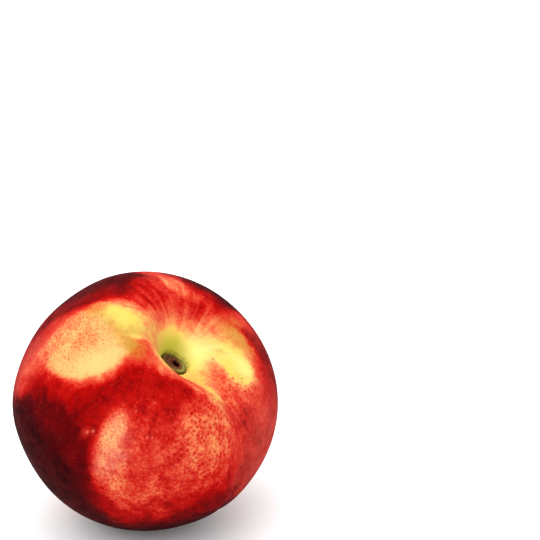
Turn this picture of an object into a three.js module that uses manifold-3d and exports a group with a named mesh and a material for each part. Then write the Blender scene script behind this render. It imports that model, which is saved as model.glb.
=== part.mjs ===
// A ripe nectarine, picked and laid on a table, with the stub of its stalk left in the hollow.
//
// Units are millimetres and degrees, and +Z is up. The origin is the middle of the small flat
// spot that the fruit rests on.
//
// The fruit has a frame of its own: its centre is the middle of the round body, +Z runs up the
// stem axis, +X points to the side that carries the seam, and +Y to the flatter cheek. A place
// on the skin is given by its angle from the stem axis (0 in the hollow, 180 at the tip) and by
// its angle round that axis, counted from the seam.
import * as THREE from "three";
import { mergeVertices } from "three/addons/utils/BufferGeometryUtils.js";
import Module from "manifold-3d";

// ---- Driving dimensions ----

// Half sizes of the round body, before the hollow, the seam and the swells.
const HALF_DEPTH_SEAM_TO_BACK = 36.0;
const HALF_WIDTH_CHEEK_TO_CHEEK = 36.4;
const HALF_HEIGHT_STEM_TO_TIP = 34.6;
const SHOULDER_WIDENING = 0.035; // share of the width gained above the middle
const TIP_NARROWING = 0.06; // share of the width lost below the middle

// The hollow that the stalk grew from: steep under the full cheek, gentle to the flat one.
const HOLLOW_DEPTH = 14.6;
const HOLLOW_REACH_SEAM = 10.0;
const HOLLOW_REACH_BACK = 9.0;
const HOLLOW_REACH_FULL_CHEEK = 7.6;
const HOLLOW_REACH_FLAT_CHEEK = 12.0;
const HOLLOW_POWER_FULL_CHEEK = 2.3;
const HOLLOW_POWER_FLAT_CHEEK = 1.4;

// The seam is a groove from the hollow to the tip, deep at the rim of the hollow.
const SEAM_DEPTH_AT_RIM = 3.4;
const SEAM_DEPTH_AT_MIDDLE = 0.45;
const SEAM_DEPTH_AT_TIP = 1.2;
const SEAM_WIDTH_AT_RIM = 5.5;
const SEAM_WIDTH = 3.2;
const SEAM_LEAN_AT_RIM = 9;
const SEAM_LEAN_AT_MIDDLE = -3;
const SEAM_POWER = 1.5;
const RIM_ANGLE = 24;
const RIM_SPREAD = 20;

// A crease where the back shoulder meets the full cheek.
const CREASE_ROUND = -128;
const CREASE_FROM_AXIS = 21;
const CREASE_LENGTH = 9;
const CREASE_DEPTH = 1.8;
const CREASE_WIDTH = 2.2;
const CREASE_POWER = 1.6;

// A dimple at the tip, with the small point that the flower's style left in it.
const TIP_DIMPLE_DEPTH = 1.4;
const TIP_DIMPLE_SPREAD = 9;
const TIP_POINT_HEIGHT = 1.0;
const TIP_POINT_SPREAD = 2.4;

// Low swells and flats that make the body uneven, as it grew.
const SWELLS = [
  { name: "full cheek", fromAxis: 34, round: -60, height: 2.6, spread: 26 },
  { name: "lip beside the seam", fromAxis: 26, round: -22, height: 1.2, spread: 12 },
  { name: "lobe at the hollow", fromAxis: 24, round: -104, height: 1.0, spread: 9 },
  { name: "back shoulder", fromAxis: 24, round: -150, height: 0.9, spread: 10 },
  { name: "cheek by the seam", fromAxis: 60, round: -30, height: 0.8, spread: 25 },
  { name: "full side", fromAxis: 96, round: -119, height: 1.1, spread: 19 },
  { name: "flat behind the shoulder", fromAxis: 62, round: -163, height: -1.1, spread: 13 },
  { name: "lower seam side", fromAxis: 80, round: -6, height: 1.0, spread: 14 },
];

// How the fruit lies: its stem axis leans over, and the flat spot carries it.
const STEM_LEAN = 41;
const STEM_HEADING = -51;
const SEAM_TURN = 9.5;
const CENTRE_ABOVE_REST = new THREE.Vector3(2.2, 0.3, 33.3);

// The stub of the stalk, snapped off level with the floor of the hollow.
const STUB_RADIUS = 3.1;
const STUB_HEIGHT = 2.2;
const STUB_GAP = 0.3; // clear all round, where the stub has dried and shrunk
const HOLLOW_FLOOR = HALF_HEIGHT_STEM_TO_TIP - HOLLOW_DEPTH;

// The stub's outline from its foot to the pit in its middle: share of the radius, share of the
// height. It has a rounded green ring, a groove inside that, and a fibrous disc round the pit.
const STUB_OUTLINE = [
  [0, 0],
  [0.84, 0],
  [1, 0.22],
  [1, 0.76],
  [0.92, 0.94],
  [0.79, 1],
  [0.68, 0.88],
  [0.62, 0.8],
  [0.55, 0.92],
  [0.42, 0.98],
  [0.28, 0.93],
  [0.19, 0.72],
  [0.11, 0.48],
  [0, 0.4],
];

// Fineness of the meshes.
const RINGS = 56;
const SEGMENTS = 60;
const RING_CROWDING = 0.6; // how much closer the rings lie at the hollow and at the tip
const STUB_SIDES = 32;
const MERGE_DISTANCE = 1e-4;

// ---- Small helpers ----

const radians = THREE.MathUtils.degToRad;
const degrees = THREE.MathUtils.radToDeg;
const between = THREE.MathUtils.lerp;

// 1 at the middle, falling to 1/e at one width away.
function bell(distance, width, power = 2) {
  return Math.exp(-((Math.abs(distance) / width) ** power));
}

// 0 at and before `from`, 1 at and past `to`, smooth between; the two may run either way.
function ramp(value, from, to) {
  const share = THREE.MathUtils.clamp((value - from) / (to - from), 0, 1);
  return share * share * (3 - 2 * share);
}

// The unit vector at an angle from the stem axis and an angle round it, both in radians.
function direction(fromAxis, round) {
  const across = Math.sin(fromAxis);
  return new THREE.Vector3(across * Math.cos(round), across * Math.sin(round), Math.cos(fromAxis));
}

// ---- The form of the fruit ----

function swellHeight(outward) {
  let height = 0;
  for (const swell of SWELLS) {
    const middle = direction(radians(swell.fromAxis), radians(swell.round));
    height += swell.height * bell(degrees(outward.angleTo(middle)), swell.spread);
  }
  return height;
}

function seamDepth(point, outward, fromAxis) {
  const nearRim = bell(fromAxis - RIM_ANGLE, RIM_SPREAD);
  const nearTip = ramp(fromAxis, 110, 165);
  const open = ramp(fromAxis, 0, 18) * ramp(fromAxis, 180, 170);
  const deepened =
    SEAM_DEPTH_AT_MIDDLE +
    (SEAM_DEPTH_AT_RIM - SEAM_DEPTH_AT_MIDDLE) * nearRim +
    (SEAM_DEPTH_AT_TIP - SEAM_DEPTH_AT_MIDDLE) * nearTip;
  const width = between(SEAM_WIDTH, SEAM_WIDTH_AT_RIM, nearRim);
  const lean = radians(between(SEAM_LEAN_AT_RIM, SEAM_LEAN_AT_MIDDLE, ramp(fromAxis, 20, 90)));
  const aside = point.y * Math.cos(lean) - point.x * Math.sin(lean);
  const onSeamSide = ramp(outward.x, -0.25, 0.25);
  return deepened * open * onSeamSide * bell(aside, width, SEAM_POWER);
}

function creaseDepth(point, outward, fromAxis) {
  const towards = radians(CREASE_ROUND);
  const aside = point.y * Math.cos(towards) - point.x * Math.sin(towards);
  const along = outward.x * Math.cos(towards) + outward.y * Math.sin(towards);
  const length = bell(fromAxis - CREASE_FROM_AXIS, CREASE_LENGTH);
  return CREASE_DEPTH * length * ramp(along, -0.05, 0.15) * bell(aside, CREASE_WIDTH, CREASE_POWER);
}

function tipDimpleDepth(fromAxis) {
  const fromTip = 180 - fromAxis;
  const dimple = TIP_DIMPLE_DEPTH * bell(fromTip, TIP_DIMPLE_SPREAD);
  return dimple - TIP_POINT_HEIGHT * bell(fromTip, TIP_POINT_SPREAD);
}

function hollowDepth(point, round) {
  const reachX = point.x < 0 ? HOLLOW_REACH_BACK : HOLLOW_REACH_SEAM;
  const reachY = point.y < 0 ? HOLLOW_REACH_FULL_CHEEK : HOLLOW_REACH_FLAT_CHEEK;
  const toFlatCheek = 0.5 + 0.5 * Math.sin(round);
  const power = between(HOLLOW_POWER_FULL_CHEEK, HOLLOW_POWER_FLAT_CHEEK, toFlatCheek);
  return HOLLOW_DEPTH * bell(Math.hypot(point.x / reachX, point.y / reachY), 1, power);
}

// A point of the skin in the fruit's own frame, from its two angles in radians.
function skinPoint(fromAxis, round) {
  const outward = direction(fromAxis, round);
  const widened =
    1 +
    SHOULDER_WIDENING * Math.sin(2 * fromAxis) -
    TIP_NARROWING * (0.5 - 0.5 * Math.cos(fromAxis)) * Math.sin(fromAxis);
  const point = new THREE.Vector3(
    HALF_DEPTH_SEAM_TO_BACK * outward.x * widened,
    HALF_WIDTH_CHEEK_TO_CHEEK * outward.y * widened,
    HALF_HEIGHT_STEM_TO_TIP * outward.z,
  );
  const angle = degrees(fromAxis);
  const raised =
    swellHeight(outward) -
    seamDepth(point, outward, angle) -
    creaseDepth(point, outward, angle) -
    tipDimpleDepth(angle);
  point.addScaledVector(outward, raised);
  if (outward.z > 0) point.z -= hollowDepth(point, round);
  return point;
}

// A closed surface from pole to pole, with rings closer together near both poles.
function closedSurface(pointAt) {
  const corners = [pointAt(0, 0)];
  for (let ring = 1; ring < RINGS; ring++) {
    const share = ring / RINGS;
    const fromAxis = Math.PI * share - (RING_CROWDING / 2) * Math.sin(2 * Math.PI * share);
    for (let step = 0; step < SEGMENTS; step++) {
      corners.push(pointAt(fromAxis, (2 * Math.PI * step) / SEGMENTS));
    }
  }
  corners.push(pointAt(Math.PI, 0));

  const last = corners.length - 1;
  const at = (ring, step) => 1 + (ring - 1) * SEGMENTS + (step % SEGMENTS);
  const faces = [];
  for (let step = 0; step < SEGMENTS; step++) {
    faces.push(0, at(1, step), at(1, step + 1));
    for (let ring = 1; ring < RINGS - 1; ring++) {
      faces.push(at(ring, step), at(ring + 1, step), at(ring + 1, step + 1));
      faces.push(at(ring, step), at(ring + 1, step + 1), at(ring, step + 1));
    }
    faces.push(last, at(RINGS - 1, step + 1), at(RINGS - 1, step));
  }
  const geometry = new THREE.BufferGeometry().setFromPoints(corners);
  geometry.setIndex(faces);
  return geometry;
}

// ---- Cutting ----

const wasm = await Module();
wasm.setup();

function toSolid(geometry) {
  const bare = geometry.clone();
  bare.deleteAttribute("normal");
  bare.deleteAttribute("uv");
  const merged = mergeVertices(bare, MERGE_DISTANCE);
  const vertProperties = new Float32Array(merged.attributes.position.array);
  const triVerts = new Uint32Array(merged.index.array);
  return new wasm.Manifold(new wasm.Mesh({ numProp: 3, vertProperties, triVerts }));
}

function toGeometry(solid) {
  const mesh = solid.getMesh();
  const geometry = new THREE.BufferGeometry();
  geometry.setAttribute("position", new THREE.BufferAttribute(mesh.vertProperties, mesh.numProp));
  geometry.setIndex(new THREE.BufferAttribute(mesh.triVerts, 1));
  geometry.computeVertexNormals();
  return geometry;
}

// ---- The pieces ----

// The fruit's own frame in the resting frame.
const restingTurn = new THREE.Quaternion()
  .setFromAxisAngle(new THREE.Vector3(0, 0, 1), radians(STEM_HEADING))
  .multiply(new THREE.Quaternion().setFromAxisAngle(new THREE.Vector3(0, 1, 0), radians(STEM_LEAN)))
  .multiply(new THREE.Quaternion().setFromAxisAngle(new THREE.Vector3(0, 0, 1), radians(SEAM_TURN)));
const resting = new THREE.Matrix4().compose(
  CENTRE_ABOVE_REST,
  restingTurn,
  new THREE.Vector3(1, 1, 1),
);

// What lies below the table top, to be cut away so that the fruit rests flat.
function belowTable() {
  const side = 2 * HALF_WIDTH_CHEEK_TO_CHEEK;
  const depth = 10;
  return new THREE.BoxGeometry(side, side, depth).translate(0, 0, -depth / 2);
}

// A round well in the floor of the hollow, wide enough for the stub and its gap. Its corners
// lie half a step away from those of the skin, so that no sliver is cut between them.
function stubSocket() {
  const height = 2 * STUB_HEIGHT;
  const radius = STUB_RADIUS + STUB_GAP;
  return new THREE.CylinderGeometry(radius, radius, height, SEGMENTS)
    .rotateX(Math.PI / 2)
    .rotateZ(Math.PI / SEGMENTS)
    .translate(0, 0, HOLLOW_FLOOR - STUB_GAP + height / 2)
    .applyMatrix4(resting);
}

function makeFruit() {
  const body = toSolid(closedSurface(skinPoint).applyMatrix4(resting));
  const solid = body.subtract(toSolid(belowTable())).subtract(toSolid(stubSocket()));
  const skin = new THREE.MeshStandardMaterial({ color: 0xb5231b, roughness: 0.42, metalness: 0 });
  const fruit = new THREE.Mesh(toGeometry(solid), skin);
  fruit.name = "fruit";
  return fruit;
}

function makeStalkStub() {
  const outline = STUB_OUTLINE.map(
    ([across, up]) => new THREE.Vector2(across * STUB_RADIUS, up * STUB_HEIGHT),
  );
  const dryStalk = new THREE.MeshStandardMaterial({ color: 0x6d5f31, roughness: 0.85, metalness: 0 });
  const stub = new THREE.Mesh(new THREE.LatheGeometry(outline, STUB_SIDES).rotateX(Math.PI / 2), dryStalk);
  stub.name = "stalk_stub";
  stub.position.set(0, 0, HOLLOW_FLOOR);
  return stub;
}

// ---- The nectarine ----

// The fruit is cut flat in the resting frame; the stub sits in the fruit's own, leaning frame.
const leaningFrame = new THREE.Group();
leaningFrame.position.copy(CENTRE_ABOVE_REST);
leaningFrame.quaternion.copy(restingTurn);
leaningFrame.add(makeStalkStub());

const nectarine = new THREE.Group();
nectarine.name = "nectarine";
nectarine.add(makeFruit(), leaningFrame);

export default nectarine;
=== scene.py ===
import math
from collections import namedtuple
from types import SimpleNamespace

import bpy
from bpy.props import FloatProperty, FloatVectorProperty, IntProperty, PointerProperty
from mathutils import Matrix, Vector


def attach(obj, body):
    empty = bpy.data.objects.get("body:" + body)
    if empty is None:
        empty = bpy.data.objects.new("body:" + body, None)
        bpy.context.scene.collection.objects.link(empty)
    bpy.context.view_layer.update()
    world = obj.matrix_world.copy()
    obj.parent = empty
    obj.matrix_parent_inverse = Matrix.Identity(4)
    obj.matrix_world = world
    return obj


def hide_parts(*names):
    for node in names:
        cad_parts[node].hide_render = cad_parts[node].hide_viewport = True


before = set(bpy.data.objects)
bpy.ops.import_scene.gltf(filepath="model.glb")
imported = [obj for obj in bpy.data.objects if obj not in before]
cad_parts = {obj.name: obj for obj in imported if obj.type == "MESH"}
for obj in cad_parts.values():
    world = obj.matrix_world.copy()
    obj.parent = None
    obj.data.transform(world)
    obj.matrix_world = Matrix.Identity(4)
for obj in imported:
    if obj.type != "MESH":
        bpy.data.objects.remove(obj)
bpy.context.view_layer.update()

bl_info = {
    "name": "Nectarine",
    "version": (1, 0, 0),
    "blender": (4, 5, 0),
    "location": "3D View > Sidebar > Nectarine",
    "description": "Grows a ripe nectarine, its skin and the stub of its stalk",
    "category": "Add Mesh",
}

# A place on the skin is given in the fruit's own frame: +Z runs up the stem axis, +X to the side
# that carries the seam and +Y to the flatter cheek. The markings are laid out on a flat chart of
# the skin with the stem at its middle: degrees towards the seam, then degrees towards the flat
# cheek, both counted from the stem axis.

MILLIMETRE = 0.001

LIT_TO_PAINT = 0.7  # skin tones are given as they look when lit, which is brighter than the paint


# === Sizes and colours to change ===

def number(name, default, description, **kind):
    return FloatProperty(name=name, description=description, default=default, **kind)


def length(name, millimetres, description):
    return number(name, millimetres * MILLIMETRE, description, unit="LENGTH", precision=5)


def angle(name, in_degrees, description):
    return number(name, math.radians(in_degrees), description, subtype="ANGLE")


def share(name, default, description):
    return number(name, default, description, subtype="FACTOR")


def screen_to_light(value):
    return value / 12.92 if value <= 0.04045 else ((value + 0.055) / 1.055) ** 2.4


def light(red, green, blue, strength=1.0):
    """A colour as Blender keeps it, from how it looks on a screen, from 0 to 255."""
    return [strength * screen_to_light(part / 255) for part in (red, green, blue)] + [1.0]


def tone(name, red, green, blue, description):
    default = light(red, green, blue, LIT_TO_PAINT)
    return FloatVectorProperty(
        name=name, description=description, default=default, subtype="COLOR", size=4, min=0, max=1
    )


class NectarineBody(bpy.types.PropertyGroup):
    half_depth: length("Half depth", 36.0, "From the middle to the seam or to the back")
    half_width: length("Half width", 36.4, "From the middle to either cheek")
    half_height: length("Half height", 34.6, "From the middle to the stem end or to the tip")
    shoulder_widening: share("Shoulder widening", 0.035, "Share of the width gained above the middle")
    tip_narrowing: share("Tip narrowing", 0.06, "Share of the width lost below the middle")
    hollow_depth: length("Hollow depth", 14.6, "How deep the stem hollow goes")
    hollow_seam: length("Hollow to seam", 10.0, "Reach of the hollow to the seam")
    hollow_back: length("Hollow to back", 9.0, "Reach of the hollow to the back")
    hollow_full: length("Hollow to full cheek", 7.6, "Reach of the hollow to the full cheek")
    hollow_flat: length("Hollow to flat cheek", 12.0, "Reach of the hollow to the flat cheek")
    seam_rim: length("Seam depth at rim", 3.4, "Depth of the seam at the rim of the hollow")
    seam_middle: length("Seam depth at middle", 0.45, "Depth of the seam half way down the side")
    seam_tip: length("Seam depth at tip", 1.2, "Depth of the seam near the tip")
    seam_rim_width: length("Seam width at rim", 5.5, "Half width of the seam at the rim of the hollow")
    seam_width: length("Seam width", 3.2, "Half width of the seam down the side")
    crease_depth: length("Crease depth", 1.8, "Depth of the crease at the back shoulder")
    crease_width: length("Crease width", 2.2, "Half width of the crease at the back shoulder")
    tip_dimple: length("Tip dimple", 1.4, "Depth of the dimple at the tip")
    tip_point: length("Tip point", 1.0, "Height of the point that the flower left in the dimple")
    stem_lean: angle("Stem lean", 41, "How far the stem axis leans over as the fruit rests")
    stem_heading: angle("Stem heading", -51, "Which way the stem axis leans, from +X")
    seam_turn: angle("Seam turn", 9.5, "Turn of the fruit about its stem axis")
    rings: IntProperty(name="Rings", description="Rings of faces from stem to tip", default=246)
    segments: IntProperty(name="Segments", description="Faces in each ring", default=400)


class NectarineStub(bpy.types.PropertyGroup):
    long_radius: length("Stub long radius", 3.7, "Half the length of the oval stub")
    short_radius: length("Stub short radius", 2.75, "Half the width of the oval stub")
    turn: angle("Stub turn", 22.5, "Turn of the oval about the stem axis, from the seam side")
    slant: angle("Stub slant", 15, "How much the break slopes down across the oval")
    height: length("Stub height", 2.2, "Height of the stalk stub above the floor of the hollow")
    fibre_length: length("Fibre length", 0.42, "Length of a torn fibre on the stub")
    fibre_radius: length("Fibre radius", 0.07, "Radius of a torn fibre at its foot")
    fibre_spacing: length("Fibre spacing", 0.2, "Least distance between two fibres")
    seed: IntProperty(name="Seed", description="Changes where the fibres grow", default=7)


class NectarineSkin(bpy.types.PropertyGroup):
    yellow: tone("Ground yellow", 240, 214, 101, "Bare skin near the stem")
    cream: tone("Ground cream", 242, 194, 118, "Bare skin on the shoulder and the cheek")
    # Painted light: the pale colour of the lit wall of the hollow.
    painted_light: tone("Hollow glow", 255, 246, 160, "Bright wall of the stem hollow")
    green: tone("Hollow green", 186, 184, 66, "Skin round the foot of the stalk")
    peach: tone("Peach", 244, 172, 100, "The faintest blush")
    orange: tone("Orange", 246, 142, 88, "Light blush")
    coral: tone("Coral", 235, 92, 62, "Blush with the ground still showing through")
    vermilion: tone("Vermilion", 218, 48, 34, "Bright blush")
    red: tone("Red", 200, 18, 14, "Full blush")
    crimson: tone("Crimson", 170, 8, 7, "Deep blush")
    # Maroon and dark maroon also serve as painted shade towards the bottom and the rims.
    maroon: tone("Maroon", 102, 5, 9, "Sunburnt blush")
    dark_maroon: tone("Dark maroon", 46, 3, 7, "The darkest blush")
    dot: tone("Dot", 130, 34, 16, "Breathing pores in pale skin")
    # Salmon also paints the glints, which are painted highlights.
    salmon: tone("Salmon", 230, 104, 84, "Pale flecks in red skin")
    # Olive also paints shade in the folds and the crease.
    olive: tone("Olive", 200, 140, 44, "Olive cast at folds and fringes")
    # Pinkish wax bloom, also used as painted sheen at the rims.
    bloom_and_sheen: tone("Bloom", 255, 190, 164, "Pinkish bloom of wax")
    bark: tone("Bark", 96, 58, 34, "The dry point at the tip, and specks")
    roughness: share("Roughness", 0.7, "How matt the skin is")


class NectarineStage(bpy.types.PropertyGroup):
    sun_strength: number("Key light", 0.9, "Strength of the key light")
    sun_softness: angle("Key softness", 75, "Size of the key light as seen from the fruit")
    sky_strength: number("Light from above", 1.9, "Strength of the ceiling")
    wall_strength: number("Light from the sides", 0.85, "Strength of the walls")


# === Arithmetic written as nodes ===

class Quantity:
    """What comes out of a node, so that a rule reads as plain arithmetic."""

    def __init__(self, socket):
        self.socket = socket

    __add__ = __radd__ = lambda self, other: calculate("ADD", self, other)
    __mul__ = __rmul__ = lambda self, other: calculate("MULTIPLY", self, other)
    __sub__ = lambda self, other: calculate("SUBTRACT", self, other)
    __rsub__ = lambda self, other: calculate("SUBTRACT", other, self)
    __truediv__ = lambda self, other: calculate("DIVIDE", self, other)
    __neg__ = lambda self: self * -1.0


def feed(socket, value):
    """Links a quantity to a socket, or writes a plain value on it."""
    if isinstance(value, Quantity):
        socket.id_data.links.new(value.socket, socket)
    else:
        socket.default_value = value


def add_node(kind, inputs, **settings):
    """Adds a node to the tree that its inputs come from, and feeds them by name or number."""
    named = inputs if isinstance(inputs, dict) else dict(enumerate(inputs))
    known = next(value for value in named.values() if isinstance(value, Quantity))
    node = known.socket.id_data.nodes.new(kind)
    for name, value in settings.items():
        setattr(node, name, value)
    for name, value in named.items():
        feed(node.inputs[name], value)
    return node


def result(kind, inputs, output=0, **settings):
    return Quantity(add_node(kind, inputs, **settings).outputs[output])


def source(tree, kind, output=0):
    """What comes out of a node that needs no input."""
    return Quantity(tree.nodes.new(kind).outputs[output])


def calculate(operation, *values):
    return result("ShaderNodeMath", values, operation=operation)


def sine(value):
    return calculate("SINE", value)


def cosine(value):
    return calculate("COSINE", value)


def larger(one, other):
    return calculate("MAXIMUM", one, other)


def hypotenuse(one, other):
    return calculate("SQRT", one * one + other * other)


def bell(distance, width, power=2.0):
    """1 at the middle, falling to 1/e at one width away."""
    return calculate("EXPONENT", -calculate("POWER", calculate("ABSOLUTE", distance / width), power))


def ramp(value, start, end, low=0.0, high=1.0):
    """Runs smoothly from low at start to high at end, and stays there beyond."""
    inputs = (value, start, end, low, high)
    return result("ShaderNodeMapRange", inputs, interpolation_type="SMOOTHSTEP")


def between(start, end, part):
    return start + (end - start) * part


def join_parts(x, y, z):
    return result("ShaderNodeCombineXYZ", (x, y, z))


def split_parts(vector):
    return [Quantity(socket) for socket in add_node("ShaderNodeSeparateXYZ", [vector]).outputs]


def turn_about(vector, axis, by):
    inputs = {"Vector": vector, "Angle": by}
    return result("ShaderNodeVectorRotate", inputs, rotation_type=axis + "_AXIS")


def scale(vector, by):
    return result("ShaderNodeVectorMath", {0: vector, "Scale": by}, operation="SCALE")


def mix_number(start, end, part):
    return result("ShaderNodeMix", {0: part, 2: start, 3: end}, data_type="FLOAT")


def mix_colour(start, end, part):
    return result("ShaderNodeMix", {0: part, 6: start, 7: end}, 2, data_type="RGBA")


def noise(vector, grain, detail=2.0, roughness=0.5, output="Fac"):
    """Cloudy noise with features about one grain wide."""
    inputs = {"Vector": vector, "Scale": 1 / grain, "Detail": detail, "Roughness": roughness}
    return result("ShaderNodeTexNoise", inputs, output)


def three_noises(vector, grain, detail, roughness):
    """Three unlike noises about 0."""
    parts = split_parts(noise(vector, grain, detail, roughness, "Color"))
    return [part - 0.5 for part in parts]


def firm_noise(vector, grain, detail, roughness, margin):
    """Noise about 0 with its middle range spread out: margin is what is cut at either end."""
    return ramp(noise(vector, grain, detail, roughness), margin, 1 - margin) - 0.5


# === Node groups and meshes ===

PLACE = "place"  # the attribute that tells a material where it is on the skin or the stub


def rules_of(group):
    """The properties of a group by key, without the two that every group has."""
    rules = group.bl_rna.properties.items()
    return {key: rule for key, rule in rules if key not in {"rna_type", "name"}}


def new_geometry_tree(name, sizes):
    """A geometry tree with an input for each size: the tree, its ends and those inputs."""
    tree = bpy.data.node_groups.new(name, "GeometryNodeTree")
    for in_out in ("INPUT", "OUTPUT"):
        tree.interface.new_socket(name="Geometry", in_out=in_out, socket_type="NodeSocketGeometry")
    rules = rules_of(sizes)
    for key, rule in rules.items():
        kind = "NodeSocketInt" if rule.type == "INT" else "NodeSocketFloat"
        socket = tree.interface.new_socket(name=rule.name, in_out="INPUT", socket_type=kind)
        socket.description = rule.description
        socket.default_value = getattr(sizes, key)
    entry = tree.nodes.new("NodeGroupInput").outputs
    leave = tree.nodes.new("NodeGroupOutput").inputs["Geometry"]
    size = {key: Quantity(entry[rule.name]) for key, rule in rules.items()}
    return tree, Quantity(entry["Geometry"]), leave, size


def add_object(name, data):
    made = bpy.data.objects.new(name, data)
    bpy.context.scene.collection.objects.link(made)
    return made


def grow(name, base_mesh, tree, sizes):
    """Runs a geometry tree on a mesh and keeps what it makes as a plain mesh."""
    maker = add_object(name + "_maker", base_mesh)
    modifier = maker.modifiers.new("Grow", "NODES")
    modifier.node_group = tree
    keys = {rule.name: key for key, rule in rules_of(sizes).items()}
    for item in tree.interface.items_tree:
        if item.in_out == "INPUT" and item.name in keys:
            modifier[item.identifier] = getattr(sizes, keys[item.name])
    depsgraph = bpy.context.evaluated_depsgraph_get()
    mesh = bpy.data.meshes.new_from_object(
        maker.evaluated_get(depsgraph), preserve_all_data_layers=True, depsgraph=depsgraph
    )
    maker.modifiers.remove(modifier)
    bpy.data.objects.remove(maker)
    if not mesh.polygons:
        raise RuntimeError(name + " came out empty")
    mesh.name = name
    return add_object(name, mesh)


def move_to(geometry, position):
    return result("GeometryNodeSetPosition", {"Geometry": geometry, "Position": position})


def store_place(geometry, place):
    """Keeps a place at each corner, for a material to read."""
    inputs = {"Geometry": geometry, "Name": PLACE, "Value": place}
    kind = "GeometryNodeStoreNamedAttribute"
    return result(kind, inputs, data_type="FLOAT_VECTOR", domain="POINT")


def finish_tree(geometry, leave, material):
    geometry = result("GeometryNodeSetShadeSmooth", [geometry])
    geometry = result("GeometryNodeRealizeInstances", [geometry])
    feed(leave, result("GeometryNodeSetMaterial", {"Geometry": geometry, "Material": material}))


# === The form of the fruit ===

CENTRE_ABOVE_REST = Vector((2.2, 0.3, 33.3)) * MILLIMETRE
RING_CROWDING = 0.35  # how much closer the rings lie at the hollow and at the tip
SKIN_INSET = 0.06 * MILLIMETRE  # keeps the finer skin within the size of the solid

HOLLOW_POWER_FULL_CHEEK = 2.3
HOLLOW_POWER_FLAT_CHEEK = 1.4
SEAM_POWER = 1.5
SEAM_LEAN_AT_RIM = math.radians(9)
SEAM_LEAN_AT_MIDDLE = math.radians(-3)
RIM_ANGLE = 24  # this and the spreads and lengths below are in degrees from the axis
RIM_SPREAD = 20
CREASE_ROUND = math.radians(-128)
CREASE_FROM_AXIS = 21
CREASE_LENGTH = 9
CREASE_POWER = 1.6
TIP_DIMPLE_SPREAD = 9
TIP_POINT_SPREAD = 2.4
SOCKET_GAP = 0.25 * MILLIMETRE  # between the stub and the wall of its socket
SOCKET_DROP = 0.3 * MILLIMETRE
SOCKET_EDGE = (1.02, 0.94)  # where its wall starts and ends, as shares of its radius

# A swell raises or lowers the skin round a place, given in degrees from the stem axis, then
# round it from the seam side. Its height is in millimetres and its spread in degrees.
Swell = namedtuple("Swell", "name, from_axis, round, height, spread")
SWELLS = [Swell(*row) for row in (
    ("full cheek", 34, -60, 2.6, 26),
    ("lip beside the seam", 26, -22, 1.2, 12),
    ("lobe at the hollow", 24, -104, 1.0, 9),
    ("back shoulder", 24, -150, 0.9, 10),
    ("cheek by the seam", 60, -30, 0.8, 25),
    ("full side", 96, -119, 1.1, 19),
    ("flat behind the shoulder", 62, -163, -1.1, 13),
    ("lower seam side", 80, -6, 1.0, 14),
    # Small blisters, which BLISTERS below colours.
    ("blister by the crescent", 57.1, -81.5, 0.28, 2.1),
    ("its neighbour", 54.6, -79.2, 0.2, 1.4),
    ("blister on the cheek", 43.3, -55.4, 0.16, 1.7),
)]


def direction(from_axis, round_axis):
    """The unit vector at two angles in degrees."""
    away, about = math.radians(from_axis), math.radians(round_axis)
    return (math.sin(away) * math.cos(about), math.sin(away) * math.sin(about), math.cos(away))


def swell_height(outward):
    height = 0.0
    for swell in SWELLS:
        inputs = (outward, direction(swell.from_axis, swell.round))
        facing = result("ShaderNodeVectorMath", inputs, "Value", operation="DOT_PRODUCT")
        away = calculate("DEGREES", calculate("ARCCOSINE", calculate("MINIMUM", facing, 1.0)))
        height = bell(away, swell.spread) * (swell.height * MILLIMETRE) + height
    return height


def turned_parts(x, y, turn):
    """Two parts of a place, along and across a line that is turned from +X."""
    along = x * math.cos(turn) + y * math.sin(turn)
    across = y * math.cos(turn) - x * math.sin(turn)
    return along, across


def seam_depth(size, x, y, outward_x, degrees_down):
    near_rim = bell(degrees_down - RIM_ANGLE, RIM_SPREAD)
    near_tip = ramp(degrees_down, 110.0, 165.0)
    opened = ramp(degrees_down, 0.0, 18.0) * ramp(degrees_down, 180.0, 170.0)
    middle = size["seam_middle"]
    deepened = middle + (size["seam_rim"] - middle) * near_rim + (size["seam_tip"] - middle) * near_tip
    width = between(size["seam_width"], size["seam_rim_width"], near_rim)
    lean = ramp(degrees_down, 20.0, 90.0, SEAM_LEAN_AT_RIM, SEAM_LEAN_AT_MIDDLE)
    aside = y * cosine(lean) - x * sine(lean)
    return deepened * opened * ramp(outward_x, -0.25, 0.25) * bell(aside, width, SEAM_POWER)


def crease_depth(size, x, y, outward_x, outward_y, degrees_down):
    aside = turned_parts(x, y, CREASE_ROUND)[1]
    along = turned_parts(outward_x, outward_y, CREASE_ROUND)[0]
    reach = bell(degrees_down - CREASE_FROM_AXIS, CREASE_LENGTH)
    across = bell(aside, size["crease_width"], CREASE_POWER)
    return size["crease_depth"] * reach * ramp(along, -0.05, 0.15) * across


def tip_dimple_depth(size, degrees_down):
    from_tip = 180.0 - degrees_down
    dimple = size["tip_dimple"] * bell(from_tip, TIP_DIMPLE_SPREAD)
    return dimple - size["tip_point"] * bell(from_tip, TIP_POINT_SPREAD)


def hollow_depth(size, x, y, sin_round):
    reach_x = between(size["hollow_seam"], size["hollow_back"], calculate("LESS_THAN", x, 0.0))
    reach_y = between(size["hollow_flat"], size["hollow_full"], calculate("LESS_THAN", y, 0.0))
    power = between(HOLLOW_POWER_FULL_CHEEK, HOLLOW_POWER_FLAT_CHEEK, 0.5 + 0.5 * sin_round)
    return size["hollow_depth"] * bell(hypotenuse(x / reach_x, y / reach_y), 1.0, power)


def place_in_rest(point, seam_turn, stem_lean, stem_heading):
    """Turns a point from the fruit's own frame to where the fruit rests."""
    for axis, by in (("Z", seam_turn), ("Y", stem_lean), ("Z", stem_heading)):
        point = turn_about(point, axis, by)
    return result("ShaderNodeVectorMath", (point, tuple(CENTRE_ABOVE_REST)), operation="ADD")


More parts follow.
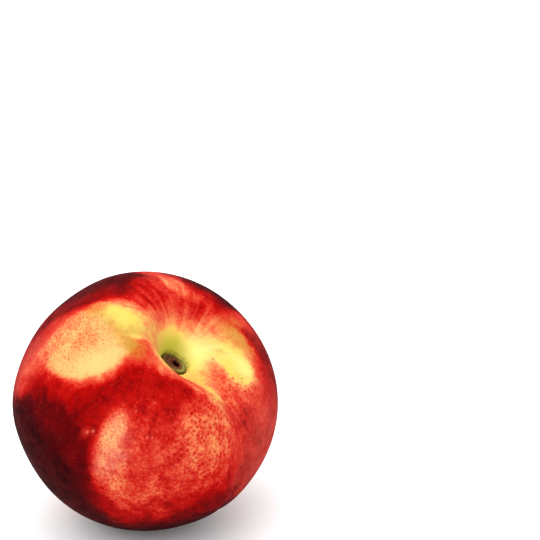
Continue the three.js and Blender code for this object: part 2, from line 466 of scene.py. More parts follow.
def fruit_tree(sizes, stub, material):
    tree, _, leave, size = new_geometry_tree("Nectarine body", sizes)
    inputs = {"Segments": size["segments"], "Rings": size["rings"], "Radius": 1.0}
    ball = result("GeometryNodeMeshUVSphere", inputs)
    ball_x, ball_y, ball_z = split_parts(source(tree, "GeometryNodeInputPosition"))
    ball_across = hypotenuse(ball_x, ball_y)
    cos_round = ball_x / ball_across
    sin_round = ball_y / ball_across
    even = calculate("ARCTAN2", ball_across, ball_z)
    down = even - RING_CROWDING / 2 * sine(2.0 * even)
    degrees_down = calculate("DEGREES", down)
    outward = join_parts(sine(down) * cos_round, sine(down) * sin_round, cosine(down))
    outward_x, outward_y, outward_z = split_parts(outward)

    narrowed = size["tip_narrowing"] * (0.5 - 0.5 * cosine(down)) * sine(down)
    widened = 1.0 + size["shoulder_widening"] * sine(2.0 * down) - narrowed
    x = size["half_depth"] * outward_x * widened
    y = size["half_width"] * outward_y * widened
    z = size["half_height"] * outward_z
    raised = (
        swell_height(outward)
        - seam_depth(size, x, y, outward_x, degrees_down)
        - crease_depth(size, x, y, outward_x, outward_y, degrees_down)
        - tip_dimple_depth(size, degrees_down)
        - SKIN_INSET
    )
    # The hollow is measured on the round body, and cut straight down the stem axis.
    grown_x = x + outward_x * raised
    grown_y = y + outward_y * raised
    upper = calculate("GREATER_THAN", outward_z, 0.0)
    grown_z = z + outward_z * raised - hollow_depth(size, grown_x, grown_y, sin_round) * upper
    floor = size["half_height"] - size["hollow_depth"] - SOCKET_DROP
    along, across = turned_parts(grown_x, grown_y, stub.turn)
    long, short = stub.long_radius + SOCKET_GAP, stub.short_radius + SOCKET_GAP
    in_socket = upper * ramp(hypotenuse(along / long, across / short), *SOCKET_EDGE)
    grown = join_parts(grown_x, grown_y, between(grown_z, floor, in_socket))

    resting = place_in_rest(grown, size["seam_turn"], size["stem_lean"], size["stem_heading"])
    rest_x, rest_y, rest_z = split_parts(resting)
    resting = join_parts(rest_x, rest_y, larger(rest_z, 0.0))
    finish_tree(move_to(store_place(ball, outward), resting), leave, material)
    return tree


# === The markings of the skin ===

# Blush runs from 0, bare ground, to 1, the darkest maroon. Each patch paints its own blush over
# what lies under it. A patch is an oval on the chart: its middle, half length and half width in
# degrees, how soft its edge is, its blush and its strength in percent, and its turn in degrees.
Patch = namedtuple("Patch", "name seamward flatward long wide soft blush strength turn", defaults=[0])


def patches(*rows):
    return [Patch(*row[:5], *(part / 100 for part in row[5:8]), *row[8:]) for row in rows]


RAGGED_PATCHES = patches(
    # The far side and the ring below, seen only from behind.
    ("far cheek", 10, 78, 70, 34, 35, 84, 80),
    ("far cheek shade", -40, 70, 40, 22, 40, 92, 70, 20),
    ("seam side below", 95, 0, 26, 44, 40, 80, 80),
    # The side that faced the sun. Its deep maroon towards the bottom and along the back and far rims
    # is partly the skin's own colour and partly painted shade.
    ("near side", 10, -52, 62, 40, 40, 79, 100),
    ("sunburnt side", 0, -104, 74, 36, 24, 98, 100),
    ("sunburnt side, seamward", 72, -94, 50, 27, 25, 97, 100, 38),
    ("sunburnt edge, seamward", 104, -38, 32, 62, 34, 98, 100),
    ("sunburnt back", -64, -7, 29, 26, 30, 94, 100),
    # Painted shade: the dark band along the back and far rim.
    ("far back shade", -20, 39, 16, 9, 50, 97, 95, 20),
    ("far rim", 20, 41, 14, 8, 50, 84, 90),
    # The near cheek and its flank.
    ("flank", -54, -58, 12, 19, 50, 74, 90),
    ("salmon flank", -43, -58, 8, 9, 60, 43, 90, 10),
    ("outer flank", -59, -45, 10, 24, 60, 80, 90),
    ("foot of flank", -39, -68.5, 7, 5, 70, 52, 80),
    ("red band", -24, -59, 14, 6, 60, 68, 90, 8),
    ("red spot", -19, -66, 6, 5, 60, 74, 90),
    ("dark band", -1, -66, 30, 8.5, 60, 91, 90),
    ("flat cheek", 47, 16, 30, 22, 50, 70, 90),
    ("orange beside seam", 34, 0, 16, 8, 60, 44, 90),
    ("coral along seam", 32, -2, 11, 3, 70, 36, 90, -3),
    ("red beside seam", 43, 8, 8, 5, 80, 74, 85, 10),
    ("salmon on flat cheek", 37, 19.5, 6, 6, 90, 48, 70),
    ("seam side", 53, -5, 12, 10, 60, 58, 80),
    # Deeper red towards the bottom, partly painted shade.
    ("lower seam side", 67, 5, 9, 8, 60, 78, 90),
    # The back of the hollow.
    ("streaked back", -24, 4, 14, 14, 50, 60, 80),
    ("orange back", -29, 18, 11, 5.5, 50, 36, 90, 8),
    ("salmon back rim", -44, 18, 8, 5, 50, 50, 80),
    ("salmon far rim", -2, 37, 6, 8, 60, 50, 85),
    ("streaked far side", -7, 26, 13, 8, 60, 52, 80),
    # Painted shade at the far rim.
    ("crimson at far rim", -14, 32.5, 6.5, 4.5, 80, 82, 90),
    # Bare ground.
    ("fringe of yellow", 14, 19, 17, 12, 40, 36, 90),
    ("fringe of hollow", 0, 2, 18, 17, 50, 30, 90),
    ("peach above hollow", -4, 18, 5, 7, 70, 24, 80, -8),
    ("hollow", -0.5, 2.5, 12, 10.2, 40, 0, 100),
    ("peach wall", -7, 12.8, 7, 3.6, 80, 26, 85, 35),
    ("salmon slope", -17.5, -1.5, 3.5, 6, 80, 34, 60),
    ("olive fringe", 8, 25, 9, 5, 60, 20, 90),
    ("orange below yellow", 25, 13.5, 8, 5, 80, 34, 85, -20),
    ("yellow on flat cheek", 14, 17, 13.5, 6.5, 40, 0, 100, 6),
    ("yellow in seam", 14, 0, 11, 5.5, 80, 12, 100, -8),
    ("orange down seam", 28, -3.2, 9, 3.2, 80, 26, 85, 2),
    ("yellow down seam", 20.5, -2.2, 7.5, 3.6, 70, 7, 95, -18),
    # Painted shade: a faint peach just above the fold.
    ("peach above fold", 0, 13.5, 3.5, 2, 80, 10, 60, 45),
    ("stippled red", 20, 7.5, 11, 3.6, 70, 36, 90, -8),
)

CRISP_PATCHES = patches(
    # The mottled cheek, with a crescent of paler skin round its outer edge.
    ("mottled cheek", 35.7, -41.3, 25.8, 26.3, 12, 54, 100),
    ("seamward edge of cheek", 60, -36, 7, 26, 90, 76, 90),
    ("foot of cheek", 53, -69.5, 17, 5.5, 80, 76, 80, 14),
    ("crimson cheek", 11.5, -25.5, 15, 10.5, 40, 74, 100, -15),
    ("heart of crimson", 4, -31, 6, 5, 80, 78, 90),
    ("crimson by crescent", 2, -42, 5, 8, 70, 79, 90),
    ("red by cheek", 12, -34, 4, 4, 90, 62, 70),
    ("red heart of cheek", 23, -33, 7, 4, 90, 62, 60, -35),
    ("maroon by crescent", 1, -55, 6, 4, 80, 86, 80),
    ("crescent, middle", 28, -56, 12, 5.8, 60, 31, 90, -20),
    ("crescent, upper", 15.8, -47.2, 9, 4.8, 60, 17, 95, -54),
    ("crescent, lower", 41, -59, 9, 4.5, 70, 38, 80, 5),
    ("pale blot", 49, -46, 3.5, 5.5, 70, 42, 80),
    ("salmon foot of cheek", 53, -57, 5, 5, 90, 50, 60),
    ("pale blot by rim", 65, -45, 4, 3.5, 80, 52, 85),
    ("salmon by seam side", 50, -19, 10, 9, 70, 48, 80),
    ("orange by seam", 36.5, -16.5, 13.5, 10, 50, 35, 95, -10),
    ("orange near seam", 34, -8.5, 14, 4.5, 80, 34, 70),
    ("crimson down cheek", 72, -34, 6, 16, 90, 82, 70),
    # The pale shoulder behind the crease.
    ("edge of shoulder", -26.5, -32.7, 20, 23.5, 20, 60, 80, -18),
    ("back shoulder", -25, -31.3, 18.5, 22.8, 9, 13, 100, -18),
    ("stipple on shoulder", -41, -34, 7, 20, 70, 27, 90, 5),
    ("foot of shoulder", -34, -49, 9, 4.5, 70, 34, 80),
    ("upper edge of shoulder", -38, -24, 5, 4, 90, 34, 60),
    ("outer edge of shoulder", -50.5, -39, 6, 20, 70, 64, 85),
    ("crimson beyond shoulder", -61, -35, 8, 13, 60, 86, 100),
    ("back of shoulder", -46, -17.5, 17, 7, 60, 86, 100, 53),
    ("orange in shoulder", -24, -35, 5, 4, 100, 24, 80),
    ("dark back", -43, -9, 7, 6, 60, 86, 90),
    ("cream on shoulder", -11.2, -37, 6, 11, 70, 0, 95, -22),
    ("cream below shoulder", -24, -47, 7, 4, 80, 8, 90, 20),
    ("fringe of its yellow", -26, -12.5, 9, 5, 80, 36, 85, 10),
    ("peach in shoulder", -17, -31.5, 5, 3.5, 90, 18, 80),
    ("yellow on shoulder", -23, -16.8, 12, 4.8, 70, 0, 100, 12),
    ("tan end of yellow", -35.5, -19.5, 3.6, 3.4, 90, 22, 80),
    ("way into hollow", -12.5, -9, 6, 6, 80, 14, 90, -20),
    ("lobe by hollow", -3.2, -19.5, 6.2, 5, 70, 46, 95),
    ("pale edge of lip", 1.5, -14.2, 8, 3.4, 60, 14, 100, -4),
    ("pale spot at lip", 5, -18.5, 2.5, 2, 90, 20, 80),
    ("lip under seam", 19, -8, 8, 3, 80, 30, 80, 32),
)

# The patches below paint other things than blush, so their blush says how much of each.

# Painted shade in olive along the fold and crease of the shoulder and the fold in the yellow, and the
# skin's own olive round the yellow.
FOLD_SHADE_AND_OLIVE_PATCHES = patches(
    ("fold in shoulder", -18, -22.4, 13, 2.2, 90, 100, 45),
    ("tan end of yellow", -35.5, -21, 4.5, 4, 90, 100, 45),
    ("crease", -8.5, -22.5, 5, 3, 90, 100, 80),
    ("fold in yellow", 6.6, 16.3, 3.6, 0.9, 90, 100, 40, 33),
    ("fringe of yellow", 6, 27, 9, 4, 80, 100, 60, 10),
    ("far fringe", 3, 33, 8, 4, 90, 100, 35, 10),
)

# Where a pinkish bloom of wax lies, with painted sheen: pale haze that stands for reflections at the
# rims.
BLOOM_AND_SHEEN_PATCHES = patches(
    ("flank", -50, -58, 11, 20, 100, 100, 70),
    ("back rim", -40, 18, 12, 7, 90, 90, 60),
    ("flat cheek", 54, 24, 22, 20, 100, 100, 70),
    ("seam side", 72, 6, 12, 10, 80, 100, 50),
    ("far rim", 5, 42, 14, 8, 90, 80, 40),
    ("heart of cheek", 34, -40, 22, 20, 90, 100, 12),
    ("crescent", 22, -51.5, 12, 6, 70, 180, 100, -50),
)

# Painted light: where the bare ground is paler, mostly on the wall and ridges of the hollow.
PAINTED_LIGHT_PATCHES = patches(
    ("bright wall of hollow", 2, 11.5, 8.5, 6, 70, 100, 45),
    ("ridge beside hollow", 2.6, 13.2, 4.5, 1.2, 80, 100, 40, 62),
    ("end of yellow", 19, 20, 5, 3.5, 80, 100, 50),
    ("pale yellow", 11, 19, 4, 2, 90, 100, 30, 20),
    ("pale cream", -13, -37, 5, 9, 90, 100, 20, -22),
)

# Colour on the blisters, painted highlights (the glints) and specks.
BLISTERS = patches(
    ("blister by crescent", 8.4, -56.5, 2, 2.6, 70, 100, 100),
    ("its neighbour", 10.2, -53.6, 1.3, 1.3, 70, 100, 100),
    ("blister on cheek", 24.6, -35.6, 1.5, 1.5, 70, 100, 60),
)
GLINTS = patches(
    ("glint", 8.8, -55.8, 0.5, 0.7, 100, 100, 90),
    ("glint", 10, -53.4, 0.45, 0.6, 100, 100, 90),
    ("glint", 24, -36.4, 0.45, 0.45, 90, 100, 80),
    ("glint", 25.2, -34.8, 0.4, 0.4, 90, 100, 80),
    ("glint", 13.4, -35.2, 0.4, 0.4, 90, 100, 60),
)
SPECKS = patches(
    ("speck", 8, 12.2, 0.45, 0.4, 90, 100, 70),
    ("speck", 6.8, 17, 0.5, 0.3, 90, 100, 40, 30),
    ("speck", 22.5, 15.5, 0.4, 0.4, 90, 100, 50),
)

# Where each texture shows, in the order in which the rules take them. Their blush isn't used.
TEXTURE_PATCHES = patches(
    ("streaks at back", -30, 10, 26, 28, 60, 0, 100),
    ("streaks along seam", 48, -1, 26, 14, 50, 0, 100),
    ("rough cheek", 38, -36, 32, 36, 40, 0, 100),
    ("rough shoulder", -34, -36, 16, 20, 60, 0, 60),
    ("rough flat cheek", 38, 8, 22, 10, 60, 0, 80),
)
PORE_PATCHES = patches(
    ("pores along seam", 35, -18, 19, 17, 50, 0, 100),
    ("pores on flat cheek", 28, 12, 13, 7, 60, 0, 80),
    ("pores on shoulder", -35, -40, 14, 16, 60, 0, 80, -15),
    ("pores in crescent", 20, -52, 12, 9, 60, 0, 60, -50),
)
# Painted light that brightens the whole hollow.
PAINTED_HOLLOW_LIGHT = patches(("light in the hollow", -2, 4, 11, 9, 40, 0, 35))[0]

DEGREE_ON_SKIN = 0.62  # millimetres of skin for a degree on the chart
FLATTEN = 1e6  # makes the third part of a chart place count for nothing

# Noises that wear the edges of the patches: the grain in millimetres, detail and roughness of
# each, and how far in degrees it shifts the two kinds of patches.
WEARING_NOISES = {"drift": (8.0, 2.0, 0.5), "wear": (3.0, 2.0, 0.5), "grit": (1.2, 3.0, 0.6)}
RAGGED_SHIFTS = (6.0, 3.6, 2.6)
CRISP_SHIFTS = (2.0, 2.2, 1.5)

# Spacing of scattered points in millimetres.
PORE_SPACING = 1.3
STIPPLE_SPACING = 0.85
FRECKLE_SPACING = 1.9

PLAIN_BLUSH = 0.7

# How far each texture moves the blush.
CLOUDS = 0.24
BACK_STREAKS = 0.2
FINE_BACK_STREAKS = 0.06
SEAM_STREAKS = 0.15
TIP_STREAKS = 0.14
SHOULDER_MOTTLE = 0.12
BLOTCHES = 0.06
PORE_RINGS = 0.13
STIPPLE = 0.09
BLISTER_PALING = 0.06

# The blush at which each tone shows in full.
FLUSH_STOPS = dict(
    peach=0.1, orange=0.26, coral=0.4, vermilion=0.54, red=0.66, crimson=0.78, maroon=0.89,
    dark_maroon=1.0,
)

SKIN_SPECULAR = 0.02
RED_SHINE = (1.0, 0.2, 0.15, 1.0)


def patch_cover(chart, patch, after=0.0):
    """How far a patch covers a place, worked out once `after` is known, to be light to render."""
    inputs = {
        "Vector": join_parts(*chart, after),
        "Location": (patch.seamward, patch.flatward, 0),
        "Rotation": (0, 0, math.radians(patch.turn)),
        "Scale": (patch.long, patch.wide, FLATTEN),
    }
    laid = result("ShaderNodeMapping", inputs, vector_type="TEXTURE")
    away = result("ShaderNodeVectorMath", [laid], "Value", operation="LENGTH")
    return ramp(away, 1 + patch.soft, 1 - patch.soft, 0.0, patch.strength)


def paint(blush, chart, row):
    for patch in row:
        blush = mix_number(blush, patch.blush, patch_cover(chart, patch, blush))
    return blush


def painted_after(earlier, chart, row):
    """Paints patches on nothing, but only once an earlier quantity is known."""
    return paint(0.0 * earlier, chart, row)


def covers(place, row, after):
    return [patch_cover(place.chart, patch, after) for patch in row]


def worn_chart(chart, noises, shifts):
    """Shifts a place on the chart by noises, each as far as its shift in degrees."""
    worn = []
    for index, place in enumerate(chart):
        for parts, shift in zip(noises, shifts):
            place = place + shift * parts[index]
        worn.append(place)
    return worn


def scattered_points(vector, spacing):
    """How far, in spacings, the nearest of some scattered points is, and that point's luck."""
    inputs = {"Vector": vector, "Scale": 1 / spacing}
    found = add_node("ShaderNodeTexVoronoi", inputs, voronoi_dimensions="2D").outputs
    return Quantity(found["Distance"]), split_parts(Quantity(found["Color"]))[0]


def colour_scale(position, stops):
    node = add_node("ShaderNodeValToRGB", [position])
    marks = node.color_ramp.elements
    marks.remove(marks[-1])
    marks[0].position, marks[0].color = stops[0]
    for at, colour in stops[1:]:
        marks.new(at).color = colour
    return Quantity(node.outputs[0])


def new_material(name):
    material = bpy.data.materials.new(name)
    material.use_nodes = True
    shader = next(node for node in material.node_tree.nodes if node.type == "BSDF_PRINCIPLED")
    return material, material.node_tree, shader


def add_bump(shader, height):
    """Small relief, with its height in millimetres."""
    inputs = {"Strength": 1.0, "Distance": MILLIMETRE, "Height": height}
    feed(shader.inputs["Normal"], result("ShaderNodeBump", inputs))


def read_place(tree):
    """Where a material is: in millimetres as the part rests, and in its own stored frame."""
    coordinates = source(tree, "ShaderNodeTexCoord", "Object")
    node = tree.nodes.new("ShaderNodeAttribute")
    node.attribute_name = PLACE
    return scale(coordinates, 1 / MILLIMETRE), split_parts(Quantity(node.outputs["Vector"]))


def find_on_skin(tree):
    """All that the rules of the skin need to know of a place."""
    at, (x, y, z) = read_place(tree)
    across = larger(hypotenuse(x, y), 1e-4)
    from_stem = calculate("DEGREES", calculate("ARCTAN2", across, z))
    chart = [from_stem * x / across, from_stem * y / across]
    noises = {name: three_noises(at, *kind) for name, kind in WEARING_NOISES.items()}
    return SimpleNamespace(
        at=at,
        heading=(x / across, y / across),
        from_stem=from_stem,
        chart=chart,
        ragged=worn_chart(chart, noises.values(), RAGGED_SHIFTS),
        crisp=worn_chart(chart, noises.values(), CRISP_SHIFTS),
        spread=join_parts(*(part * DEGREE_ON_SKIN for part in chart), 0.0),
        cloud=noise(at, 14.0),
        mottle=firm_noise(at, 3.0, 4.0, 0.6, 0.3),
        dust=ramp(noise(at, 5.0, 4.0, 0.7), 0.3, 0.7),
        **noises,
    )


def streaks_along(place, count, pace, grain, roughness, margin):
    """Noise drawn out into streaks that run from stem to tip, in steps of a pace in degrees."""
    meridian = join_parts(*(part * count for part in place.heading), place.from_stem / pace)
    return firm_noise(meridian, grain, 2.0, roughness, margin)


def find_pores(place, blush):
    """Scattered pores: where each kind shows, and how near its middle a place is."""
    seam, flat, shoulder, crescent = covers(place, PORE_PATCHES, blush)
    middle, luck = scattered_points(place.spread, PORE_SPACING)
    return SimpleNamespace(
        middle=middle,
        lucky=ramp(luck, 0.25, 0.7),
        stipple=scattered_points(place.spread, STIPPLE_SPACING)[0],
        dense=larger(seam, flat),
        shoulder=shoulder,
        fine=larger(shoulder, crescent),
    )


def textured_blush(place, pores, blush):
    """Adds streaks, mottling and speckle to the blush, and a redder ring round each pore."""
    streak = streaks_along(place, count=13, pace=20, grain=1.25, roughness=0.5, margin=0.32)
    fine_streak = streaks_along(place, count=22, pace=24, grain=1, roughness=0.6, margin=0.3)
    blotch = firm_noise(place.at, 4.5, 2.5, 0.55, 0.3)
    speckle = firm_noise(place.at, 0.7, 2.0, 0.6, 0.32)
    back, seam, cheek, shoulder, flat = covers(place, TEXTURE_PATCHES, blush)
    back = back * ramp(place.from_stem, 8.0, 20.0, 0.3, 1.0)
    rough = larger(larger(cheek, shoulder), flat)
    lively = ramp(blush, 0.0, 0.3) * ramp(blush, 0.9, 0.6)
    rings = ramp(pores.middle, 0.46, 0.18) * pores.lucky * (0.35 * cheek + 0.65 * pores.dense)
    return (
        blush
        + BACK_STREAKS * streak * back * lively
        + FINE_BACK_STREAKS * fine_streak * back * lively
        + SEAM_STREAKS * fine_streak * seam * lively
        + TIP_STREAKS * streak * ramp(place.from_stem, 110.0, 165.0)
        + place.mottle * (0.04 + 0.1 * lively + 0.1 * cheek * lively)
        + SHOULDER_MOTTLE * place.mottle * shoulder * ramp(blush, 0.62, 0.3)
        + speckle * (0.02 + 0.05 * lively + 0.08 * rough * lively)
        + BLOTCHES * blotch * ramp(blush, 0.5, 0.7) * ramp(blush, 1.0, 0.8, 0.3, 1.0)
        + PORE_RINGS * rings * ramp(blush, 0.66, 0.48)
        + STIPPLE * ramp(pores.stipple, 0.5, 0.15) * rough * ramp(blush, 0.64, 0.4)
    )


def ground_colour(place, tones):
    """The bare ground: green at the foot of the stalk, then yellow, then cream further out."""
    bareness = ramp(place.from_stem + 4.0 * (place.cloud - 0.5) + 0.25 * place.chart[0], 5.0, 10.5)
    ground = mix_colour(tones.green, tones.yellow, bareness)
    creamy = ramp(place.chart[1] + 8.0 * place.drift[2], -17.0, -27.0)
    ground = mix_colour(ground, tones.cream, creamy)
    tanned = ramp(place.mottle + place.wear[2], 0.1, 0.6) * ramp(place.from_stem, 9.0, 16.0)
    return mix_colour(ground, tones.olive, 0.35 * tanned)


def skin_material(tones):
    material, tree, shader = new_material("nectarine_skin")
    place = find_on_skin(tree)
    blush = PLAIN_BLUSH + CLOUDS * place.cloud
    blush = paint(blush, place.ragged, RAGGED_PATCHES)
    blush = paint(blush, place.crisp, CRISP_PATCHES)
    pores = find_pores(place, blush)
    blush = textured_blush(place, pores, blush)
    blistered = painted_after(blush, place.chart, BLISTERS)
    blush = blush - BLISTER_PALING * blistered

    stops = [(at, getattr(tones, name)) for name, at in FLUSH_STOPS.items()]
    ground = ground_colour(place, tones)
    skin = mix_colour(ground, colour_scale(blush, stops), ramp(blush, 0.0, 0.26))
    # Olive over the ground: painted shade in the folds and crease, and the olive fringes of the
    # yellow.
    cast = painted_after(blistered, place.crisp, FOLD_SHADE_AND_OLIVE_PATCHES)
    skin = mix_colour(skin, tones.olive, cast * ramp(blush, 0.7, 0.4))

    # Dark points in pale skin.
    coloured = larger(ramp(blush, 0.0, 0.1), pores.shoulder)
    pale = ramp(blush, 0.62, 0.4) * coloured * ramp(place.from_stem, 17.0, 28.0)
    dotted = ramp(pores.middle, 0.24, 0.09) * pores.lucky * pale
    skin = mix_colour(skin, tones.dot, dotted * (0.4 + 0.45 * pores.dense + 0.2 * pores.shoulder))
    fine_dots = ramp(pores.stipple, 0.24, 0.08) * pale * pores.fine
    skin = mix_colour(skin, tones.dot, 0.6 * fine_dots)

    # Flecks, bloom of wax with painted sheen, and freckles in red skin.
    fleck = ramp(noise(place.at, 0.9, 3.0, 0.65), 0.5, 0.72) * ramp(blush, 0.48, 0.6)
    skin = mix_colour(skin, tones.salmon, 0.4 * fleck * ramp(blush, 0.74, 0.6))
    # Pale haze: partly wax bloom, partly painted sheen where the rims would reflect the bright
    # surroundings.
    bloom_and_sheen_cover = painted_after(cast, place.ragged, BLOOM_AND_SHEEN_PATCHES)
    bloom_and_sheen_part = bloom_and_sheen_cover * ramp(blush, 0.95, 0.72) * (0.05 + 0.12 * place.dust)
    skin = mix_colour(skin, tones.bloom_and_sheen, bloom_and_sheen_part)
    skin = mix_colour(skin, tones.salmon, 0.1 * blistered * blistered)
    freckle, luck = scattered_points(place.spread, FRECKLE_SPACING)
    freckled = ramp(freckle, 0.16, 0.05) * ramp(luck, 0.4, 0.8) * ramp(blush, 0.66, 0.78)
    skin = mix_colour(skin, tones.salmon, 0.1 * freckled * ramp(place.from_stem, 115.0, 95.0))
    # Painted highlights: small salmon glints on the blisters.
    glinting = painted_after(bloom_and_sheen_cover, place.chart, GLINTS)
    skin = mix_colour(skin, tones.salmon, glinting)
    specked = painted_after(glinting, place.chart, SPECKS)
    skin = mix_colour(skin, tones.bark, specked)

    # Painted light on the bright wall of the hollow, and the whole hollow painted brighter.
    painted_light_cover = painted_after(cast, place.chart, PAINTED_LIGHT_PATCHES)
    skin = mix_colour(skin, tones.painted_light, painted_light_cover * ramp(blush, 0.4, 0.1))
    skin = scale(skin, 1.0 + patch_cover(place.chart, PAINTED_HOLLOW_LIGHT, painted_light_cover))

    # The dry point that the flower left at the tip.
    at_tip = ramp(place.from_stem + 2.0 * place.mottle, 176.6, 178.0)
    feed(shader.inputs["Base Color"], mix_colour(skin, tones.bark, at_tip))
    matt = tones.roughness + 0.12 * place.mottle + 0.3 * at_tip + 0.08 * place.dust
    feed(shader.inputs["Roughness"], matt)
    shader.inputs["Specular IOR Level"].default_value = SKIN_SPECULAR
    shader.inputs["Specular Tint"].default_value = RED_SHINE
    peel = 0.012 * noise(place.at, 0.9) + 0.12 * noise(place.at, 5.0)
    add_bump(shader, peel - 0.02 * dotted)
    return material


# === The stalk stub ===

# The stub's outline from its foot to the pit in its middle: share of the radius, then share of
# the height. It has a rounded ring, a groove inside that, and a fibrous disc round the pit.
STUB_OUTLINE = [
    (0.0, 0.0), (0.84, 0.0), (0.96, 0.06), (1.0, 0.22), (1.0, 0.76), (0.97, 0.88), (0.9, 0.96),
    (0.8, 1.0), (0.72, 0.96), (0.66, 0.84), (0.62, 0.8), (0.58, 0.85), (0.52, 0.94), (0.42, 0.98),
    (0.33, 0.96), (0.26, 0.9), (0.19, 0.72), (0.11, 0.48), (0.05, 0.42), (0.0, 0.4),
]
STUB_SIDES = 96
STUB_PIT_ASIDE = 0.24  # how far the pit lies off the middle, as a share of the long radius
STUB_DISC_RADIUS, STUB_DISC_HEIGHT = 0.58, 0.6
FIBRE_MOST = 2.0e7  # fibres on a square metre, before their spacing thins them out
FIBRE_SIDES = 6
FIBRE_TAPER = 0.45
FIBRE_LEAN = 0.5
FIBRE_TURN = 6.28

# The stub's colours from the pit outwards: share of the radius, then the colour on a screen.
STUB_STOPS = [
    # The near-black round the pit is painted shade in the hole.
    (0.0, (8, 0, 0)), (0.24, (18, 2, 2)), (0.36, (96, 48, 30)), (0.52, (142, 90, 66)),
    (0.64, (66, 38, 16)), (0.78, (106, 80, 38)), (0.9, (84, 64, 20)), (1.0, (58, 40, 2)),
]
STUB_GREEN = (150, 146, 70)


def turned_mesh(name, outline, sides):
    """A closed turned form of radius 1 and height 1, from an outline that ends on its axis."""
    corners = [(0, 0, outline[0][1])]
    for across, up in outline[1:-1]:
        for step in range(sides):
            turn = 2 * math.pi * step / sides
            corners.append((across * math.cos(turn), across * math.sin(turn), up))
    corners.append((0, 0, outline[-1][1]))
    last = len(corners) - 1
    top = last - 1 - sides
    faces = []
    for step in range(sides):
        here, there = 1 + step, 1 + (step + 1) % sides
        faces.append((0, there, here))
        for low in range(0, top, sides):
            high = low + sides
            faces.append((here + low, there + low, there + high, here + high))
        faces.append((here + top, there + top, last))
    mesh = bpy.data.meshes.new(name)
    mesh.from_pydata(corners, [], faces)
    mesh.update()
    return mesh


def torn_fibres(surface, on_disc, size):
    """Fibres that stand on the torn disc round the pit."""
    spacing, radius, seed = size["fibre_spacing"], size["fibre_radius"], size["seed"]
    inputs = {
        "Mesh": surface, "Selection": on_disc, "Distance Min": spacing, "Density Max": FIBRE_MOST,
        "Seed": seed,
    }
    points = result("GeometryNodeDistributePointsOnFaces", inputs, distribute_method="POISSON")
    inputs = {
        "Vertices": FIBRE_SIDES, "Side Segments": 2, "Radius Bottom": radius,
        "Radius Top": radius * FIBRE_TAPER, "Depth": size["fibre_length"],
    }
    fibre = result("GeometryNodeMeshCone", inputs)
    least = (-FIBRE_LEAN, -FIBRE_LEAN, 0.0)
    most = (FIBRE_LEAN, FIBRE_LEAN, FIBRE_TURN)
    inputs = {"Min": least, "Max": most, "Seed": seed}
    lean = result("FunctionNodeRandomValue", inputs, data_type="FLOAT_VECTOR")
    inputs = {"Points": points, "Instance": fibre, "Rotation": lean}
    return result("GeometryNodeInstanceOnPoints", inputs)


def stub_tree(sizes, body, material):
    tree, blank, leave, size = new_geometry_tree("Stalk stub", sizes)
    position = source(tree, "GeometryNodeInputPosition")
    x, y, z = split_parts(position)

    # Up to the first move the blank has radius 1 and height 1, and after it the stub's size.
    pit_aside = STUB_PIT_ASIDE * ramp(hypotenuse(x, y), 0.6, 0.0)
    long, short, height = size["long_radius"], size["short_radius"], size["height"]
    sized = join_parts((x + pit_aside) * long, y * short, z * height)
    sized = move_to(store_place(blank, position), sized)
    within = calculate("LESS_THAN", hypotenuse(x / long, y / short), STUB_DISC_RADIUS)
    above = calculate("GREATER_THAN", z / height, STUB_DISC_HEIGHT)
    both = add_node("GeometryNodeJoinGeometry", [torn_fibres(sized, within * above, size)])
    feed(both.inputs[0], sized)
    whole = result("GeometryNodeRealizeInstances", [Quantity(both.outputs[0])])

    hollow_floor = body.half_height - body.hollow_depth
    sloped = z - y * calculate("TANGENT", size["slant"]) * z / height
    turned = turn_about(join_parts(x, y, sloped + hollow_floor), "Z", size["turn"])
    resting = place_in_rest(turned, body.seam_turn, body.stem_lean, body.stem_heading)
    finish_tree(move_to(whole, resting), leave, material)
    return tree


def stub_material():
    material, tree, shader = new_material("dry_stalk")
    at, (x, y, _) = read_place(tree)
    across = hypotenuse(x, y)
    wander = 0.3 * (noise(at, 0.5, 3.0, 0.6) - 0.5)
    wood = colour_scale(across + wander, [(out, light(*seen)) for out, seen in STUB_STOPS])
    green_side = bell(across - 0.78, 0.16) * ramp(x + wander, -0.3, 0.8)
    feed(shader.inputs["Base Color"], mix_colour(wood, light(*STUB_GREEN), 0.8 * green_side))
    shader.inputs["Roughness"].default_value = 0.8
    shader.inputs["Specular IOR Level"].default_value = 0.06
    add_bump(shader, 0.12 * noise(at, 0.25, 3.0, 0.6))
    return material


# === Operators ===

FLOOR_HALF = 4.0
FLOOR_DROP = 0.05 * MILLIMETRE  # keeps the floor clear of the flat spot
FLOOR_TONE = (0.9, 0.9, 0.9, 1.0)
KEY_DIRECTION = Vector((-0.45, -0.4, 1.0))
CAMERA_PLACE = Vector((36.2, -317.7, 177.0)) * MILLIMETRE
CAMERA_TILT = math.radians(90 - 18.325)
CAMERA_LENS = 85
CAMERA_NEAR = 0.01


class NECTARINE_OT_fruit(bpy.types.Operator):
    """Grow the body of the fruit and paint its skin"""

    bl_idname = "nectarine.fruit"
    bl_label = "Grow the fruit"

    def execute(self, context):
        scene = context.scene
        body = scene.nectarine_body
        tree = fruit_tree(body, scene.nectarine_stub, skin_material(scene.nectarine_skin))
        fruit = grow("ripe_fruit", bpy.data.meshes.new("seedling"), tree, body)
        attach(fruit, "root")
        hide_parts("fruit")
        return {"FINISHED"}


class NECTARINE_OT_stub(bpy.types.Operator):
    """Set the snapped stub of the stalk in the hollow"""

    bl_idname = "nectarine.stub"
    bl_label = "Set the stalk stub"

    def execute(self, context):
        scene = context.scene
        blank = turned_mesh("stub_blank", STUB_OUTLINE, STUB_SIDES)
        tree = stub_tree(scene.nectarine_stub, scene.nectarine_body, stub_material())
        stub = grow("snapped_stalk", blank, tree, scene.nectarine_stub)
        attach(stub, "root")
        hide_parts("stalk_stub")
        return {"FINISHED"}


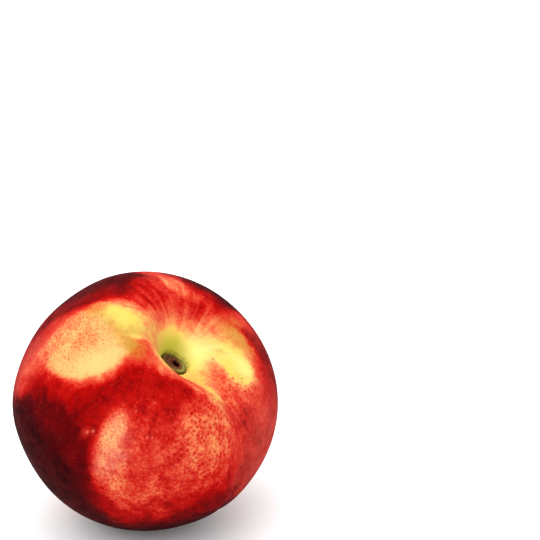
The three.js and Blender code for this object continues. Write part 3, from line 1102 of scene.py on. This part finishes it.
class NECTARINE_OT_stage(bpy.types.Operator):
    """Lay a pale floor, light it softly and set up the camera"""

    bl_idname = "nectarine.stage"
    bl_label = "Set the stage"

    def execute(self, context):
        scene = context.scene
        scene.view_settings.view_transform = "Standard"
        lay_floor()
        light_stage(scene, scene.nectarine_stage)
        place_camera(scene)
        return {"FINISHED"}


def lay_floor():
    mesh = bpy.data.meshes.new("floor")
    corners = [(-1, -1), (1, -1), (1, 1), (-1, 1)]
    mesh.from_pydata([(x * FLOOR_HALF, y * FLOOR_HALF, 0) for x, y in corners], [], [(0, 1, 2, 3)])
    material, _, shader = new_material("floor_paint")
    shader.inputs["Base Color"].default_value = FLOOR_TONE
    shader.inputs["Roughness"].default_value = 0.9
    shader.inputs["Specular IOR Level"].default_value = 0.05
    shader.inputs["Specular Tint"].default_value = RED_SHINE
    mesh.materials.append(material)
    floor = add_object("floor", mesh)
    floor.location.z = -FLOOR_DROP


def light_stage(scene, settings):
    world = bpy.data.worlds.new("studio")
    world.use_nodes = True
    tree = world.node_tree
    background = tree.nodes["Background"]
    height = split_parts(source(tree, "ShaderNodeTexCoord", "Generated"))[2]
    strength = ramp(height, 0.0, 1.0, settings.wall_strength, settings.sky_strength)
    feed(background.inputs["Strength"], strength)
    background.inputs["Color"].default_value = (1, 1, 1, 1)
    scene.world = world
    lamp = bpy.data.lights.new("key", "SUN")
    lamp.energy = settings.sun_strength
    lamp.angle = settings.sun_softness
    add_object("key", lamp).rotation_euler = KEY_DIRECTION.to_track_quat("Z", "Y").to_euler()


def place_camera(scene):
    lens = bpy.data.cameras.new("camera")
    lens.lens = CAMERA_LENS
    lens.clip_start = CAMERA_NEAR
    camera = add_object("camera", lens)
    camera.location = CAMERA_PLACE
    camera.rotation_euler.x = CAMERA_TILT
    scene.camera = camera


class NECTARINE_PT_maker(bpy.types.Panel):
    bl_idname = "NECTARINE_PT_maker"
    bl_label = "Nectarine"
    bl_space_type = "VIEW_3D"
    bl_region_type = "UI"
    bl_category = "Nectarine"

    def draw(self, context):
        for operator in OPERATORS:
            self.layout.operator(operator.bl_idname)
        for name in GROUPS:
            group = getattr(context.scene, name)
            box = self.layout.box()
            for key in rules_of(group):
                box.prop(group, key)


OPERATORS = [NECTARINE_OT_fruit, NECTARINE_OT_stub, NECTARINE_OT_stage]
GROUPS = {
    "nectarine_body": NectarineBody,
    "nectarine_stub": NectarineStub,
    "nectarine_skin": NectarineSkin,
    "nectarine_stage": NectarineStage,
}


CLASSES = [*GROUPS.values(), *OPERATORS, NECTARINE_PT_maker]


def register():
    for kind in CLASSES:
        bpy.utils.register_class(kind)
    for name, group in GROUPS.items():
        setattr(bpy.types.Scene, name, PointerProperty(type=group))


def unregister():
    for name in GROUPS:
        delattr(bpy.types.Scene, name)
    for kind in reversed(CLASSES):
        bpy.utils.unregister_class(kind)


def main():
    register()
    bpy.ops.nectarine.fruit()
    bpy.ops.nectarine.stub()
    bpy.ops.nectarine.stage()


if __name__ == "__main__":
    main()
